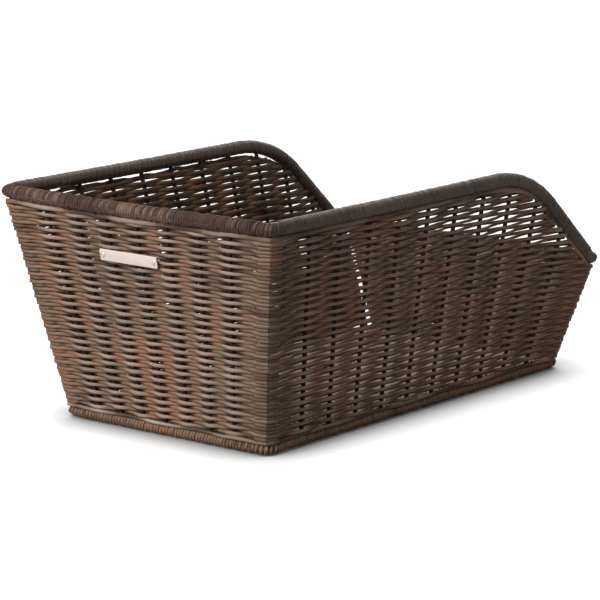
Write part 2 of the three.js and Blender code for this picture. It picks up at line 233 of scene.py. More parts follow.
class BorderSizes(bpy.types.PropertyGroup):
    """The bound borders of rim and foot"""

    rim: length("Rim radius", "Radius of the bound rim of an end", 7.2)
    long_rim: length("Long rim radius", "Radius of the bound rim of a long side", 6.8)
    rim_strand: length("Rim strand width", "Width of the strand round the rim", 3.0)
    rim_thick: length("Rim strand thickness", "Thickness of the strand round the rim", 0.55)
    rim_pitch: length("Rim pitch", "From one turn round the rim to the next", 2.6)
    foot_out: length("Foot half width", "Half the width of the bound foot", 6.5)
    foot_up: length("Foot half height", "Half the height of the bound foot", 6)
    foot_strand: length("Foot strand width", "Width of the strand round the foot", 3.3)
    foot_thick: length("Foot strand thickness", "Thickness of the strand round the foot", 2.2)
    foot_pitch: length("Foot pitch", "From one turn round the foot to the next", 3.5)
    end_thick: length("End strand thickness", "Thickness of the strand round the rim of an end", 1.3)
    end_pitch: length("End pitch", "From one turn round the rim of an end to the next", 3.0)
    taper: share("Taper", "How much thinner a rim is at its corners", 0.15)
    uneven: share("Uneven turns", "How much deeper some turns round a long rim lie", 0.06)
    foot_uneven: share("Uneven foot turns", "How much deeper some turns round the foot lie", 0.14)
    end_uneven: share("Uneven end turns", "How much deeper some turns round the rim of an end lie", 0.12)


class PlateSizes(bpy.types.PropertyGroup):
    """The blank plate on the tall end"""

    thick: length("Plate thickness", "Thickness of the plate", 1.2)
    corner: length("Plate corner", "Radius of the plate's corners", 1.2)
    edge: length("Plate edge", "Rounding of the plate's edge", 0.35)
    rivet_head: length("Rivet head", "Radius of a rivet's head", 2.2)
    rivet_crown: length("Rivet crown", "Height of a rivet's head", 1.0)


class Finishes(bpy.types.PropertyGroup):
    """The colours of the basket"""

    cane_dark: colour("Dark cane", "The darkest strands", "#573727")
    cane_olive: colour("Olive cane", "Weathered strands", "#77634F")
    cane_brown: colour("Brown cane", "Most of the strands", "#86644F")
    cane_red: colour("Red cane", "Strands that took more of the stain", "#90654F")
    # Also the colour of the painted highlight on the strands' crowns and the palest tone of the foot strand
    cane_pale_wear_and_highlight: colour("Pale cane", "Where the stain is rubbed off", "#B7A496")
    binding_dark: colour("Dark binding", "The darkest turns round a long rim", "#40332C")
    binding: colour("Binding", "Most turns round a long rim", "#4F4239")
    binding_pale: colour("Pale binding", "The palest turns round a long rim", "#5F5148")
    end_dark: colour("Dark end binding", "The darkest turns round the rim of an end", "#33241E")
    end_brown: colour("End binding", "Most turns round the rim of an end", "#4D3930")
    end_pale: colour("Pale end binding", "The palest turns round the rim of an end", "#846959")
    stake: colour("Stake", "The stakes inside the weave", "#38201A")
    wire: colour("Wire", "The coated wire of the hoops and posts", "#3A2A22")
    enamel: colour("Enamel", "The plate", "#EEDBD0")
    steel: colour("Steel", "The rivets", "#B9B4AE")
    floor: colour("Floor", "The floor", "#949494")


class StageSettings(bpy.types.PropertyGroup):
    """The camera and the light"""

    pivot: length("Pivot", "The point on the floor that the camera is measured from", 14)
    azimuth: angle("Azimuth", "The camera's turn round the basket", -51.395)
    elevation: angle("Elevation", "The camera's height as an angle", 13.519)
    distance: length("Distance", "From the pivot to the camera", 2890.1)
    aim_right: length("Aim right", "How far to the right of the pivot the camera looks", -17.93)
    aim_up: length("Aim up", "How far above the pivot the camera looks", 85.8)
    lens: FloatProperty(
        name="Lens", description="Focal length for a sensor 36 mm wide", default=184.69, unit="CAMERA"
    )
    room: share("Room light", "The light that comes from all round", 0.03)
    key: watts("Key lamp", "The large lamp before the tall end", 90)
    key_spot: spot("Key lamp place", "Where the lamp before the tall end hangs", (-2300, 0, 1800))
    fill: watts("Fill lamp", "The large lamp behind the low end", 30)
    fill_spot: spot("Fill lamp place", "Where the lamp behind the low end hangs", (2300, 1200, 1600))
    lamp_size: length("Lamp size", "Width of each lamp", 1800)
    lift: share("Floor lift", "How much whiter the floor looks than it is lit", 0.92)
    # The dark line along the foot is a painted contact shadow on the floor's glow
    contact: length("Contact shadow", "How far the dark line along the foot reaches", 60)


class BasketSettings(bpy.types.PropertyGroup):
    """All the sizes and colours of the basket"""

    shape: PointerProperty(type=BasketShape)
    weave: PointerProperty(type=WeaveSizes)
    rear: PointerProperty(type=RearWeave)
    right: PointerProperty(type=RightWeave)
    front: PointerProperty(type=FrontWeave)
    left: PointerProperty(type=LeftWeave)
    border: PointerProperty(type=BorderSizes)
    plate: PointerProperty(type=PlateSizes)
    finish: PointerProperty(type=Finishes)
    stage: PointerProperty(type=StageSettings)


# The lines of the basket, measured from the hoops of the packed frame


class Lines:
    """The foot hoop, the rim hoop and the upright lines between them"""

    def __init__(self, shape, sharpness):
        self.shape = shape
        self.sharpness = sharpness
        rim_low, rim_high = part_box("rim_hoop")
        foot_low, foot_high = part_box("foot_hoop")
        inset = shape.hoop + shape.corner
        self.rim_corners = self.corners(rim_low, rim_high, inset)
        self.foot_corners = self.corners(foot_low, foot_high, inset)
        self.foot_level = (foot_low.z + foot_high.z) / 2
        self.tall_level = rim_high.z - shape.hoop
        self.low_level = rim_low.z + shape.hoop
        self.fall = (self.tall_level - self.low_level) / (shape.slope_foot - shape.slope_top)
        slope = math.atan(self.fall)
        hump_tangent = shape.hump * math.tan(slope / 2)
        low_tangent = shape.low_bend * math.tan(slope / 2)
        self.hump_start = shape.slope_top - hump_tangent
        self.hump_end = shape.slope_top + hump_tangent * math.cos(slope)
        self.low_start = shape.slope_foot - low_tangent * math.cos(slope)
        self.low_end = shape.slope_foot + low_tangent

    @staticmethod
    def corners(low, high, inset):
        """The middles of the four corner bends, in the order of the sides."""
        x = (low.x + inset, high.x - inset)
        y = (low.y + inset, high.y - inset)
        return [Vector((x[i], y[j], 0)) for i, j in ((0, 1), (0, 0), (1, 0), (1, 1))]

    def rim_level(self, x):
        """Height of the rim hoop's middle: level, over the hump, down the slope and level again."""
        shape = self.shape
        if x <= self.hump_start:
            return self.tall_level
        if x < self.hump_end:
            return self.tall_level - shape.hump + math.sqrt(shape.hump ** 2 - (x - self.hump_start) ** 2)
        if x <= self.low_start:
            return self.tall_level - (x - shape.slope_top) * self.fall
        if x < self.low_end:
            rest = math.sqrt(shape.low_bend ** 2 - (self.low_end - x) ** 2)
            return self.low_level + shape.low_bend - rest
        return self.low_level

    def stakes(self, side):
        """How many stakes stand in a side."""
        return self.shape.side_stakes if side in LONG_SIDES else self.shape.end_stakes

    def first_beat(self, side):
        """The number of the upright at which a side starts, counted along a row."""
        before = WEAVING_ORDER[:WEAVING_ORDER.index(side)]
        return sum(self.stakes(name) + 1 for name in before)

    def station(self, side, along, turn=0.0):
        """An upright line: its ends on the two hoops and the direction out of the wall."""
        number = SIDES.index(side)
        after = (number + 1) % len(SIDES)
        heading = math.pi + number * math.pi / 2 + turn
        outward = Vector((math.cos(heading), math.sin(heading), 0))
        reach = self.shape.corner * (1 + self.sharpness * (1 / math.cos(turn) - 1))
        low = self.foot_corners[number].lerp(self.foot_corners[after], along) + outward * reach
        high = self.rim_corners[number].lerp(self.rim_corners[after], along) + outward * reach
        low.z = self.foot_level
        hang = 4 * along * (1 - along)  # none at the corners, all of it half-way
        high.z = self.rim_level(high.x) - self.shape.sag * hang
        return {"low": low, "high": high, "outward": outward}

    def stations(self, side, steps):
        """The stations of a side from mid-corner to mid-corner, with the beat that each lies on and
        how closely every row hugs the corner post there."""
        number = SIDES.index(side)
        gaps = self.stakes(side) + 1
        straight = (self.rim_corners[number] - self.rim_corners[(number + 1) % len(SIDES)]).length
        bend = self.shape.corner * HALF_CORNER
        gap = straight / gaps
        first = self.first_beat(side)
        places = [(0, HALF_CORNER * (i / CORNER_STEPS - 1)) for i in range(CORNER_STEPS)]
        places += [(i / (gaps * steps), 0) for i in range(gaps * steps + 1)]
        places += [(1, HALF_CORNER * i / CORNER_STEPS) for i in range(1, CORNER_STEPS + 1)]
        found = []
        for along, turn in places:
            place = self.station(side, along, turn)
            reach = along * straight
            from_start = bend + reach + self.shape.corner * turn
            from_end = 2 * bend + straight - from_start
            if from_start < bend + gap:
                place["beat"] = first + from_start / (bend + gap)
            elif from_end < bend + gap:
                place["beat"] = first + gaps - from_end / (bend + gap)
            else:
                place["beat"] = first + reach / gap
            nearness = max(0.0, 1 - min(reach, straight - reach) / self.shape.hug_over)
            place["hug"] = nearness * nearness * (3 - 2 * nearness)
            found.append(place)
        return found


# Node trees


def add_node(tree, kind, inputs=None, **settings):
    """Adds a node with its settings. An input is a value, a socket, or a node for its first output."""
    node = tree.nodes.new(kind)
    for name, value in settings.items():
        setattr(node, name, value)
    for key, value in (inputs or {}).items():
        if isinstance(value, bpy.types.Node):
            value = value.outputs[0]
        if isinstance(value, bpy.types.NodeSocket):
            tree.links.new(value, node.inputs[key])
        else:
            node.inputs[key].default_value = value
    return node


def start_tree(name, inputs):
    """A new geometry tree with named inputs, what adds nodes to it, and its input sockets."""
    tree = bpy.data.node_groups.new(name, "GeometryNodeTree")
    tree.interface.new_socket("Geometry", in_out="INPUT", socket_type="NodeSocketGeometry")
    tree.interface.new_socket("Geometry", in_out="OUTPUT", socket_type="NodeSocketGeometry")
    for kind, labels in inputs.items():
        for label in labels:
            tree.interface.new_socket(label, in_out="INPUT", socket_type="NodeSocket" + kind)
    return tree, partial(add_node, tree), add_node(tree, "NodeGroupInput").outputs


def end_tree(add, shapes, material):
    """Ends a tree: smooth faces, real geometry and one material."""
    smooth = add("GeometryNodeSetShadeSmooth", {"Geometry": shapes})
    real = add("GeometryNodeRealizeInstances", {"Geometry": smooth})
    painted = add("GeometryNodeSetMaterial", {"Geometry": real, "Material": material})
    add("NodeGroupOutput", {"Geometry": painted})


def guide_values(add, kind, *names):
    """The values that a guide's points carry under these names."""
    return [add("GeometryNodeInputNamedAttribute", {"Name": name}, data_type=kind) for name in names]


def weave_tree():
    """Rows of strands that go over and under the uprights of a guide line.

    The guide's points lie on the lower hoop. Each knows its partner on the upper hoop (far), the
    way out of the wall (outward), the height between the two (rise), its place among the
    uprights (beat) and how far every row is drawn outside a corner post (hug).
    """
    tree, add, given = start_tree("weave_rows", {
        "Int": ("Rows", "Sides", "Seed"),
        "Float": (
            "First", "Pitch", "From Rim", "Rim Gap", "Uprights In A Wave", "Out", "Sway", "Peak", "Tall",
            "Thick", "Packed", "At Rim", "Crowd Over", "Wander", "Wander Over", "Drift", "Drift Over",
            "Uneven", "Uneven Over",
        ),
        "Material": ("Material",),
    })
    line = add("GeometryNodeMeshToCurve", {"Mesh": given["Geometry"]})
    rows = add(
        "GeometryNodeDuplicateElements", {"Geometry": line, "Amount": given["Rows"]}, domain="SPLINE"
    )
    row = rows.outputs["Duplicate Index"]
    place = add("GeometryNodeInputPosition")
    far, outward = guide_values(add, "FLOAT_VECTOR", "far", "outward")
    rise, beat, hug = guide_values(add, "FLOAT", "rise", "beat", "hug")

    # How high each point of a row lies; bands of rows rise and fall, but not at foot or rim
    step = add("ShaderNodeMath", {0: row, 1: given["Pitch"], 2: given["First"]}, operation="MULTIPLY_ADD")
    from_rim = add("ShaderNodeMath", {0: rise, 1: step}, operation="SUBTRACT")
    even = add("ShaderNodeMix", {0: given["From Rim"], 2: step, 3: from_rim}, data_type="FLOAT")
    even_climb = add("ShaderNodeMath", {0: even, 1: rise}, operation="DIVIDE")
    rest = add("ShaderNodeMath", {0: 1.0, 1: even_climb}, operation="SUBTRACT")
    freedom = add("ShaderNodeMath", {0: even_climb, 1: rest}, operation="MULTIPLY")
    drift_scale = add("ShaderNodeMath", {0: 1.0, 1: given["Drift Over"]}, operation="DIVIDE")
    even_place = add("ShaderNodeMix", {0: even_climb, 4: place, 5: far}, data_type="VECTOR")
    drift = add(
        "ShaderNodeTexNoise", {"Vector": even_place.outputs[1], "Scale": drift_scale, "Detail": 1.0}
    )
    off_middle = add("ShaderNodeMath", {0: drift, 1: NOISE_MIDDLE}, operation="SUBTRACT")
    most_freedom = 0.25  # half-way up the wall
    to_full = 1 / (NOISE_MIDDLE * most_freedom)
    most = add("ShaderNodeMath", {0: given["Drift"], 1: to_full}, operation="MULTIPLY")
    free_drift = add("ShaderNodeMath", {0: freedom, 1: most}, operation="MULTIPLY")
    level = add("ShaderNodeMath", {0: off_middle, 1: free_drift, 2: even}, operation="MULTIPLY_ADD")
    climb = add("ShaderNodeMath", {0: level, 1: rise}, operation="DIVIDE")
    on_wall = add("ShaderNodeMix", {0: climb, 4: place, 5: far}, data_type="VECTOR", clamp_factor=False)

    # Over one upright and under the next, and back in the wall between them
    count_along = add("ShaderNodeMath", {0: beat, 1: row}, operation="ADD")
    waves = add("ShaderNodeMath", {0: count_along, 1: given["Uprights In A Wave"]}, operation="DIVIDE")
    turn = add("ShaderNodeMath", {0: waves, 1: 2 * math.pi}, operation="MULTIPLY")
    wave = add("ShaderNodeMath", {0: turn}, operation="COSINE")
    swing = add("ShaderNodeMath", {0: wave}, operation="ABSOLUTE")
    peaked = add("ShaderNodeMath", {0: swing, 1: given["Peak"]}, operation="POWER")
    face = add("ShaderNodeMath", {0: wave}, operation="SIGN")
    between_posts = add("ShaderNodeMath", {0: peaked, 1: face}, operation="MULTIPLY")
    crown = add("ShaderNodeMix", {0: hug, 2: between_posts, 3: 1.0}, data_type="FLOAT")
    # How far a strand stands out, with none at the corner posts: the material paints it paler where it
    # stands out (partly wear, partly painted highlight) and darker where it lies inside (painted shade)
    rubbing_and_painted_light = add("ShaderNodeMix", {0: hug, 2: between_posts, 3: 0.0}, data_type="FLOAT")
    reach = add("ShaderNodeMath", {0: crown, 1: given["Sway"], 2: given["Out"]}, operation="MULTIPLY_ADD")
    swayed = add("ShaderNodeVectorMath", {0: outward, "Scale": reach}, operation="SCALE")
    course = add("ShaderNodeVectorMath", {0: on_wall.outputs[1], 1: swayed}, operation="ADD")

    # Each strand has a place of its own in the noise, which runs on round the corners
    parts = add("ShaderNodeSeparateXYZ", {0: place})
    own = add("ShaderNodeMath", {0: row, 1: given["Seed"], 2: given["Seed"]}, operation="MULTIPLY_ADD")
    strand_place = add("ShaderNodeCombineXYZ", {0: parts.outputs[0], 1: parts.outputs[1], 2: own})

    # A strand strays a little from its even course
    wander_scale = add("ShaderNodeMath", {0: 1.0, 1: given["Wander Over"]}, operation="DIVIDE")
    loose = add("ShaderNodeTexNoise", {"Vector": strand_place, "Scale": wander_scale, "Detail": 2.0})
    centred = add(
        "ShaderNodeVectorMath", {0: loose.outputs["Color"], 1: [NOISE_MIDDLE] * 3}, operation="SUBTRACT"
    )
    stray = add("ShaderNodeVectorMath", {0: centred, "Scale": given["Wander"]}, operation="SCALE")
    strayed = add("ShaderNodeVectorMath", {0: course, 1: stray}, operation="ADD")

    # The strand's section swells and thins along it, and is fuller near the foot and near the rim
    under_rim = add("ShaderNodeMath", {0: rise, 1: given["Rim Gap"]}, operation="SUBTRACT")
    swell_scale = add("ShaderNodeMath", {0: 1.0, 1: given["Uneven Over"]}, operation="DIVIDE")
    swell = add("ShaderNodeTexNoise", {"Vector": strand_place, "Scale": swell_scale, "Detail": 1.0})
    swollen = add("ShaderNodeMath", {0: swell, 1: NOISE_MIDDLE}, operation="SUBTRACT")
    uneven = add("ShaderNodeMath", {0: swollen, 1: given["Uneven"], 2: 1.0}, operation="MULTIPLY_ADD")
    below_rim = add("ShaderNodeMath", {0: 1.0, 1: climb}, operation="SUBTRACT")
    to_rim = add("ShaderNodeMath", {0: under_rim, 1: level}, operation="SUBTRACT")
    crowded = add(
        "ShaderNodeMapRange",
        {"Value": to_rim, "From Max": given["Crowd Over"], "To Min": given["At Rim"], "To Max": 1.0},
    )
    packed = add("ShaderNodeMath", {0: below_rim, 1: given["Packed"], 2: crowded}, operation="MULTIPLY_ADD")
    size = add("ShaderNodeMath", {0: uneven, 1: packed}, operation="MULTIPLY")

    # What the material reads, and the size, are kept on the points before these are moved
    marked = rows
    for name, value, kind in (
        ("strand", strand_place, "FLOAT_VECTOR"), ("crown", rubbing_and_painted_light, "FLOAT"), ("size", size, "FLOAT"),
    ):
        marked = add(
            "GeometryNodeStoreNamedAttribute", {"Geometry": marked, "Name": name, "Value": value},
            data_type=kind, domain="POINT",
        )

    # Rows end where they meet the rim
    above = add(
        "FunctionNodeCompare", {0: level, 1: under_rim}, data_type="FLOAT", operation="GREATER_THAN"
    )
    kept = add("GeometryNodeDeleteGeometry", {"Geometry": marked, "Selection": above}, domain="POINT")
    moved = add("GeometryNodeSetPosition", {"Geometry": kept, "Position": strayed})
    upright = add("GeometryNodeSetCurveNormal", {"Curve": moved}, mode="Z_UP")
    kept_size, = guide_values(add, "FLOAT", "size")
    ring = add(
        "GeometryNodeCurvePrimitiveCircle", {"Resolution": given["Sides"], "Radius": 0.5}, mode="RADIUS"
    )
    section_size = add("ShaderNodeCombineXYZ", {0: given["Thick"], 1: given["Tall"], 2: 1.0})
    section = add("GeometryNodeTransform", {"Geometry": ring, "Scale": section_size})
    strands = add(
        "GeometryNodeCurveToMesh",
        {"Curve": upright, "Profile Curve": section, "Scale": kept_size, "Fill Caps": True},
    )
    end_tree(add, strands, given["Material"])
    return tree


def binding_tree():
    """A flat strand wound round a core along a guide line. The guide's points know two directions of
    its section, outward and upward, and how thick the border is there (girth)."""
    tree, add, given = start_tree("bound_border", {
        "Int": ("Turns", "Steps", "Sides", "Core Sides", "Seed"),
        "Float": ("Half Width", "Half Height", "Strand Width", "Strand Thickness", "Uneven"),
        "Material": ("Material",),
    })
    line = add("GeometryNodeMeshToCurve", {"Mesh": given["Geometry"]})
    points = add("ShaderNodeMath", {0: given["Turns"], 1: given["Steps"], 2: 1.0}, operation="MULTIPLY_ADD")
    fine = add("GeometryNodeResampleCurve", {"Curve": line, "Count": points}, mode="COUNT")
    place = add("GeometryNodeInputPosition")
    outward, upward = guide_values(add, "FLOAT_VECTOR", "outward", "upward")
    girth, = guide_values(add, "FLOAT", "girth")
    index = add("GeometryNodeSplineParameter").outputs["Index"]
    turn = add("ShaderNodeMath", {0: index, 1: given["Steps"]}, operation="DIVIDE")
    around_angle = add("ShaderNodeMath", {0: turn, 1: 2 * math.pi}, operation="MULTIPLY")

    # Some turns lie a little deeper than others
    whole = add("ShaderNodeMath", {0: turn}, operation="FLOOR")
    chance = add("FunctionNodeRandomValue", {"ID": whole, "Seed": given["Seed"]}, data_type="FLOAT")
    depth = add("ShaderNodeMath", {0: chance.outputs[1], 1: given["Uneven"]}, operation="MULTIPLY")
    lift = add("ShaderNodeMath", {0: 1.0, 1: depth}, operation="SUBTRACT")
    inset = add("ShaderNodeMath", {0: given["Strand Thickness"], 1: 0.5}, operation="MULTIPLY")
    full_width = add("ShaderNodeMath", {0: given["Half Width"], 1: inset}, operation="SUBTRACT")
    full_height = add("ShaderNodeMath", {0: given["Half Height"], 1: inset}, operation="SUBTRACT")
    share_left = add("ShaderNodeMath", {0: lift, 1: girth}, operation="MULTIPLY")
    wide = add("ShaderNodeMath", {0: full_width, 1: share_left}, operation="MULTIPLY")
    high = add("ShaderNodeMath", {0: full_height, 1: share_left}, operation="MULTIPLY")
    cosine = add("ShaderNodeMath", {0: around_angle}, operation="COSINE")
    sine = add("ShaderNodeMath", {0: around_angle}, operation="SINE")
    out_reach = add("ShaderNodeMath", {0: cosine, 1: wide}, operation="MULTIPLY")
    up_reach = add("ShaderNodeMath", {0: sine, 1: high}, operation="MULTIPLY")
    out = add("ShaderNodeVectorMath", {0: outward, "Scale": out_reach}, operation="SCALE")
    up = add("ShaderNodeVectorMath", {0: upward, "Scale": up_reach}, operation="SCALE")
    around = add("ShaderNodeVectorMath", {0: out, 1: up}, operation="ADD")
    facing = add("ShaderNodeVectorMath", {0: around}, operation="NORMALIZE")
    wound_place = add("ShaderNodeVectorMath", {0: place, 1: around}, operation="ADD")

    # Each turn has a place of its own in the noise
    parts = add("ShaderNodeSeparateXYZ", {0: place})
    strand_place = add("ShaderNodeCombineXYZ", {0: parts.outputs[0], 1: parts.outputs[1], 2: whole})
    turned = add("GeometryNodeSetCurveNormal", {"Curve": fine, "Normal": facing}, mode="FREE")
    marked = add(
        "GeometryNodeStoreNamedAttribute", {"Geometry": turned, "Name": "strand", "Value": strand_place},
        data_type="FLOAT_VECTOR", domain="POINT",
    )
    wound = add("GeometryNodeSetPosition", {"Geometry": marked, "Position": wound_place})
    ring = add(
        "GeometryNodeCurvePrimitiveCircle", {"Resolution": given["Sides"], "Radius": 0.5}, mode="RADIUS"
    )
    strand_size = add(
        "ShaderNodeCombineXYZ", {0: given["Strand Thickness"], 1: given["Strand Width"], 2: 1.0}
    )
    section = add("GeometryNodeTransform", {"Geometry": ring, "Scale": strand_size})
    strand = add("GeometryNodeCurveToMesh", {"Curve": wound, "Profile Curve": section, "Fill Caps": True})

    # The core that the strand is wound on
    core_width = add("ShaderNodeMath", {0: full_width, 1: inset}, operation="SUBTRACT")
    core_height = add("ShaderNodeMath", {0: full_height, 1: inset}, operation="SUBTRACT")
    core_size = add("ShaderNodeCombineXYZ", {0: core_width, 1: core_height, 2: 1.0})
    core_ring = add(
        "GeometryNodeCurvePrimitiveCircle",
        {"Resolution": given["Core Sides"], "Radius": 1.0}, mode="RADIUS",
    )
    core_section = add("GeometryNodeTransform", {"Geometry": core_ring, "Scale": core_size})
    core_line = add("GeometryNodeSetCurveNormal", {"Curve": line, "Normal": outward}, mode="FREE")
    core = add(
        "GeometryNodeCurveToMesh",
        {"Curve": core_line, "Profile Curve": core_section, "Scale": girth, "Fill Caps": True},
    )
    both = add("GeometryNodeJoinGeometry", {"Geometry": strand})
    tree.links.new(core.outputs[0], both.inputs[0])
    end_tree(add, both, given["Material"])
    return tree


def rod_tree():
    """Round rods along the edges of a guide, each a little crooked."""
    tree, add, given = start_tree("round_rods", {
        "Int": ("Bends", "Sides"), "Float": ("Diameter", "Stray", "Stray Over"), "Material": ("Material",),
    })
    line = add("GeometryNodeMeshToCurve", {"Mesh": given["Geometry"]})
    fine = add("GeometryNodeResampleCurve", {"Curve": line, "Count": given["Bends"]}, mode="COUNT")
    place = add("GeometryNodeInputPosition")
    scale = add("ShaderNodeMath", {0: 1.0, 1: given["Stray Over"]}, operation="DIVIDE")
    noise = add("ShaderNodeTexNoise", {"Vector": place, "Scale": scale, "Detail": 1.0})
    centred = add(
        "ShaderNodeVectorMath", {0: noise.outputs["Color"], 1: [NOISE_MIDDLE] * 3}, operation="SUBTRACT"
    )
    stray = add("ShaderNodeVectorMath", {0: centred, "Scale": given["Stray"]}, operation="SCALE")
    bent = add("GeometryNodeSetPosition", {"Geometry": fine, "Offset": stray})
    radius = add("ShaderNodeMath", {0: given["Diameter"], 1: 0.5}, operation="MULTIPLY")
    ring = add(
        "GeometryNodeCurvePrimitiveCircle", {"Resolution": given["Sides"], "Radius": radius}, mode="RADIUS"
    )
    rods = add("GeometryNodeCurveToMesh", {"Curve": bent, "Profile Curve": ring, "Fill Caps": True})
    end_tree(add, rods, given["Material"])
    return tree


def scatter_tree():
    """Copies of one small shape on the points of a guide, turned to each point's own direction."""
    tree, add, given = start_tree("set_on_points", {"Object": ("Shape",), "Material": ("Material",)})
    shape = add("GeometryNodeObjectInfo", {"Object": given["Shape"]})
    heading, = guide_values(add, "FLOAT_VECTOR", "heading")
    turn = add("FunctionNodeAlignRotationToVector", {"Vector": heading}, axis="Z")
    copies = add(
        "GeometryNodeInstanceOnPoints",
        {"Points": given["Geometry"], "Instance": shape.outputs["Geometry"], "Rotation": turn},
    )
    end_tree(add, copies, given["Material"])
    return tree


def tree_named(name, make):
    """A tree that was made before, or a new one."""
    return bpy.data.node_groups.get(name) or make()


# Guides and finished pieces


def guide_mesh(name, runs, attributes):
    """A mesh of open lines. Each run is a list of points, and each attribute is a list for all points."""
    mesh = bpy.data.meshes.new(name)
    points = [point for run in runs for point in run]
    edges = []
    start = 0
    for run in runs:
        edges += [(start + i, start + i + 1) for i in range(len(run) - 1)]
        start += len(run)
    mesh.from_pydata(points, edges, [])
    for label, values in attributes.items():
        if isinstance(values[0], Vector):
            layer = mesh.attributes.new(label, "FLOAT_VECTOR", "POINT")
            layer.data.foreach_set("vector", [c for value in values for c in value])
        else:
            layer = mesh.attributes.new(label, "FLOAT", "POINT")
            layer.data.foreach_set("value", values)
    return mesh


def grown(name, guide, tree, inputs):
    """The plain mesh that a tree grows on a guide."""
    helper = bpy.data.objects.new(name + "_guide", guide)
    bpy.context.scene.collection.objects.link(helper)
    modifier = helper.modifiers.new("grow", "NODES")
    modifier.node_group = tree
    sockets = {item.name: item.identifier for item in tree.interface.items_tree if item.in_out == "INPUT"}
    for label, value in inputs.items():
        modifier[sockets[label]] = value
    helper.update_tag()
    graph = bpy.context.evaluated_depsgraph_get()
    mesh = bpy.data.meshes.new_from_object(
        helper.evaluated_get(graph), preserve_all_data_layers=True, depsgraph=graph
    )
    bpy.data.objects.remove(helper)
    bpy.data.meshes.remove(guide)
    if not mesh.polygons:
        raise RuntimeError(f"{name}: the tree {tree.name} made no faces")
    mesh.name = name
    return mesh


def mesh_from(name, shape):
    """A plain mesh from a shape in the making, which ends there."""
    mesh = bpy.data.meshes.new(name)
    shape.to_mesh(mesh)
    shape.free()
    return mesh


def finished(name, meshes, replaced):
    """One object from the meshes of a piece, riding on the basket in place of its CAD nodes."""
    shape = bmesh.new()
    for mesh in meshes:
        shape.from_mesh(mesh)
    whole = meshes[0]
    shape.to_mesh(whole)
    shape.free()
    for mesh in meshes[1:]:
        bpy.data.meshes.remove(mesh)
    piece = bpy.data.objects.new(name, whole)
    bpy.context.scene.collection.objects.link(piece)
    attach(piece, BODY)
    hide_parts(*replaced)
    return piece


# Materials


def start_material(name):
    """An empty material, and what adds nodes to it."""
    material = bpy.data.materials.new(name)
    material.use_nodes = True
    material.node_tree.nodes.clear()
    return material, partial(add_node, material.node_tree)


def end_material(add, inputs):
    """Ends a material with the inputs of its surface."""
    surface = add("ShaderNodeBsdfPrincipled", inputs)
    add("ShaderNodeOutputMaterial", {"Surface": surface})


def grain_noise(add, size, detail):
    """Noise whose grains have a size of their own along each axis of the piece."""
    place = add("ShaderNodeTexCoord").outputs["Object"]
    stretched = add("ShaderNodeMapping", {"Vector": place, "Scale": [1 / extent for extent in size]})
    return add("ShaderNodeTexNoise", {"Vector": stretched, "Scale": 1.0, "Detail": detail})


def stained_cane(name, tones, pale, rubbed, gloss, rough):
    """Split cane, stained, dried and waxed. The stain took in long patches on each strand and in broad
    clouds over a wall, a fine grain runs along it, and it is rubbed pale where it stands out of the
    weave and stays dark on the inside. The grain is drawn a few times coarser than real cane has it, so
    that it shows."""
    patch_length = 55 * MM
    cloud_size = 80 * MM
    grain_size = (6 * MM, 6 * MM, 0.8 * MM)
    first_tone, last_tone = 0.74, 1.26  # the sums of patch and cloud that take the end tones
    low_grain, high_grain = 0.3, 0.7  # the noise that takes the darkest and the palest grain
    dark_grain, pale_grain = 0.75, 1.2
    painted_inside_shade = 0.35
    material, add = start_material(name)
    strand = add("ShaderNodeAttribute", attribute_name="strand").outputs["Vector"]
    place = add("ShaderNodeTexCoord").outputs["Object"]
    patch = add("ShaderNodeTexNoise", {"Vector": strand, "Scale": 1 / patch_length, "Detail": 3.0})
    cloud = add("ShaderNodeTexNoise", {"Vector": place, "Scale": 1 / cloud_size, "Detail": 2.0})
    both = add("ShaderNodeMath", {0: patch, 1: cloud}, operation="ADD")
    tone = add("ShaderNodeMapRange", {"Value": both, "From Min": first_tone, "From Max": last_tone})
    ramp = add("ShaderNodeValToRGB", {0: tone})
    stops = ramp.color_ramp.elements
    while len(stops) < len(tones):
        stops.new(0.5)
    for i, shade in enumerate(tones):
        stops[i].position = i / (len(tones) - 1)
        stops[i].color = shade
    streak = grain_noise(add, grain_size, 2.0)
    grain = add("ShaderNodeMapRange", {
        "Value": streak, "From Min": low_grain, "From Max": high_grain,
        "To Min": dark_grain, "To Max": pale_grain,
    })
    grained = add("ShaderNodeMix", {0: 1.0, 6: ramp, 7: grain}, data_type="RGBA", blend_type="MULTIPLY")
    crown = add("ShaderNodeAttribute", attribute_name="crown").outputs["Fac"]
    # Paler on the crowns of the strands: partly rubbed wear, partly a painted highlight
    wear_and_highlight = add("ShaderNodeMapRange", {"Value": crown, "To Min": 0.0, "To Max": rubbed})
    worn_and_highlit = add("ShaderNodeMath", {0: wear_and_highlight, 1: patch}, operation="MULTIPLY")
    outside = add("ShaderNodeMix", {0: worn_and_highlit, 6: grained.outputs[2], 7: tuple(pale)}, data_type="RGBA")
    # Strands that lie on the inside of the weave are darkened: painted shade in the hollows of the weave
    depth = add(
        "ShaderNodeMapRange",
        {"Value": crown, "From Min": -1.0, "From Max": 0.0, "To Min": painted_inside_shade},
    )
    coloured = add(
        "ShaderNodeMix", {0: 1.0, 6: outside.outputs[2], 7: depth}, data_type="RGBA", blend_type="MULTIPLY"
    )
    dull = add("ShaderNodeMapRange", {"Value": streak, "To Min": rough[0], "To Max": rough[1]})
    relief = add("ShaderNodeBump", {"Height": streak, "Strength": 0.5, "Distance": 0.3 * MM})
    end_material(add, {
        "Base Color": coloured.outputs[2], "Roughness": dull, "Normal": relief, "Specular IOR Level": gloss,
    })
    return material


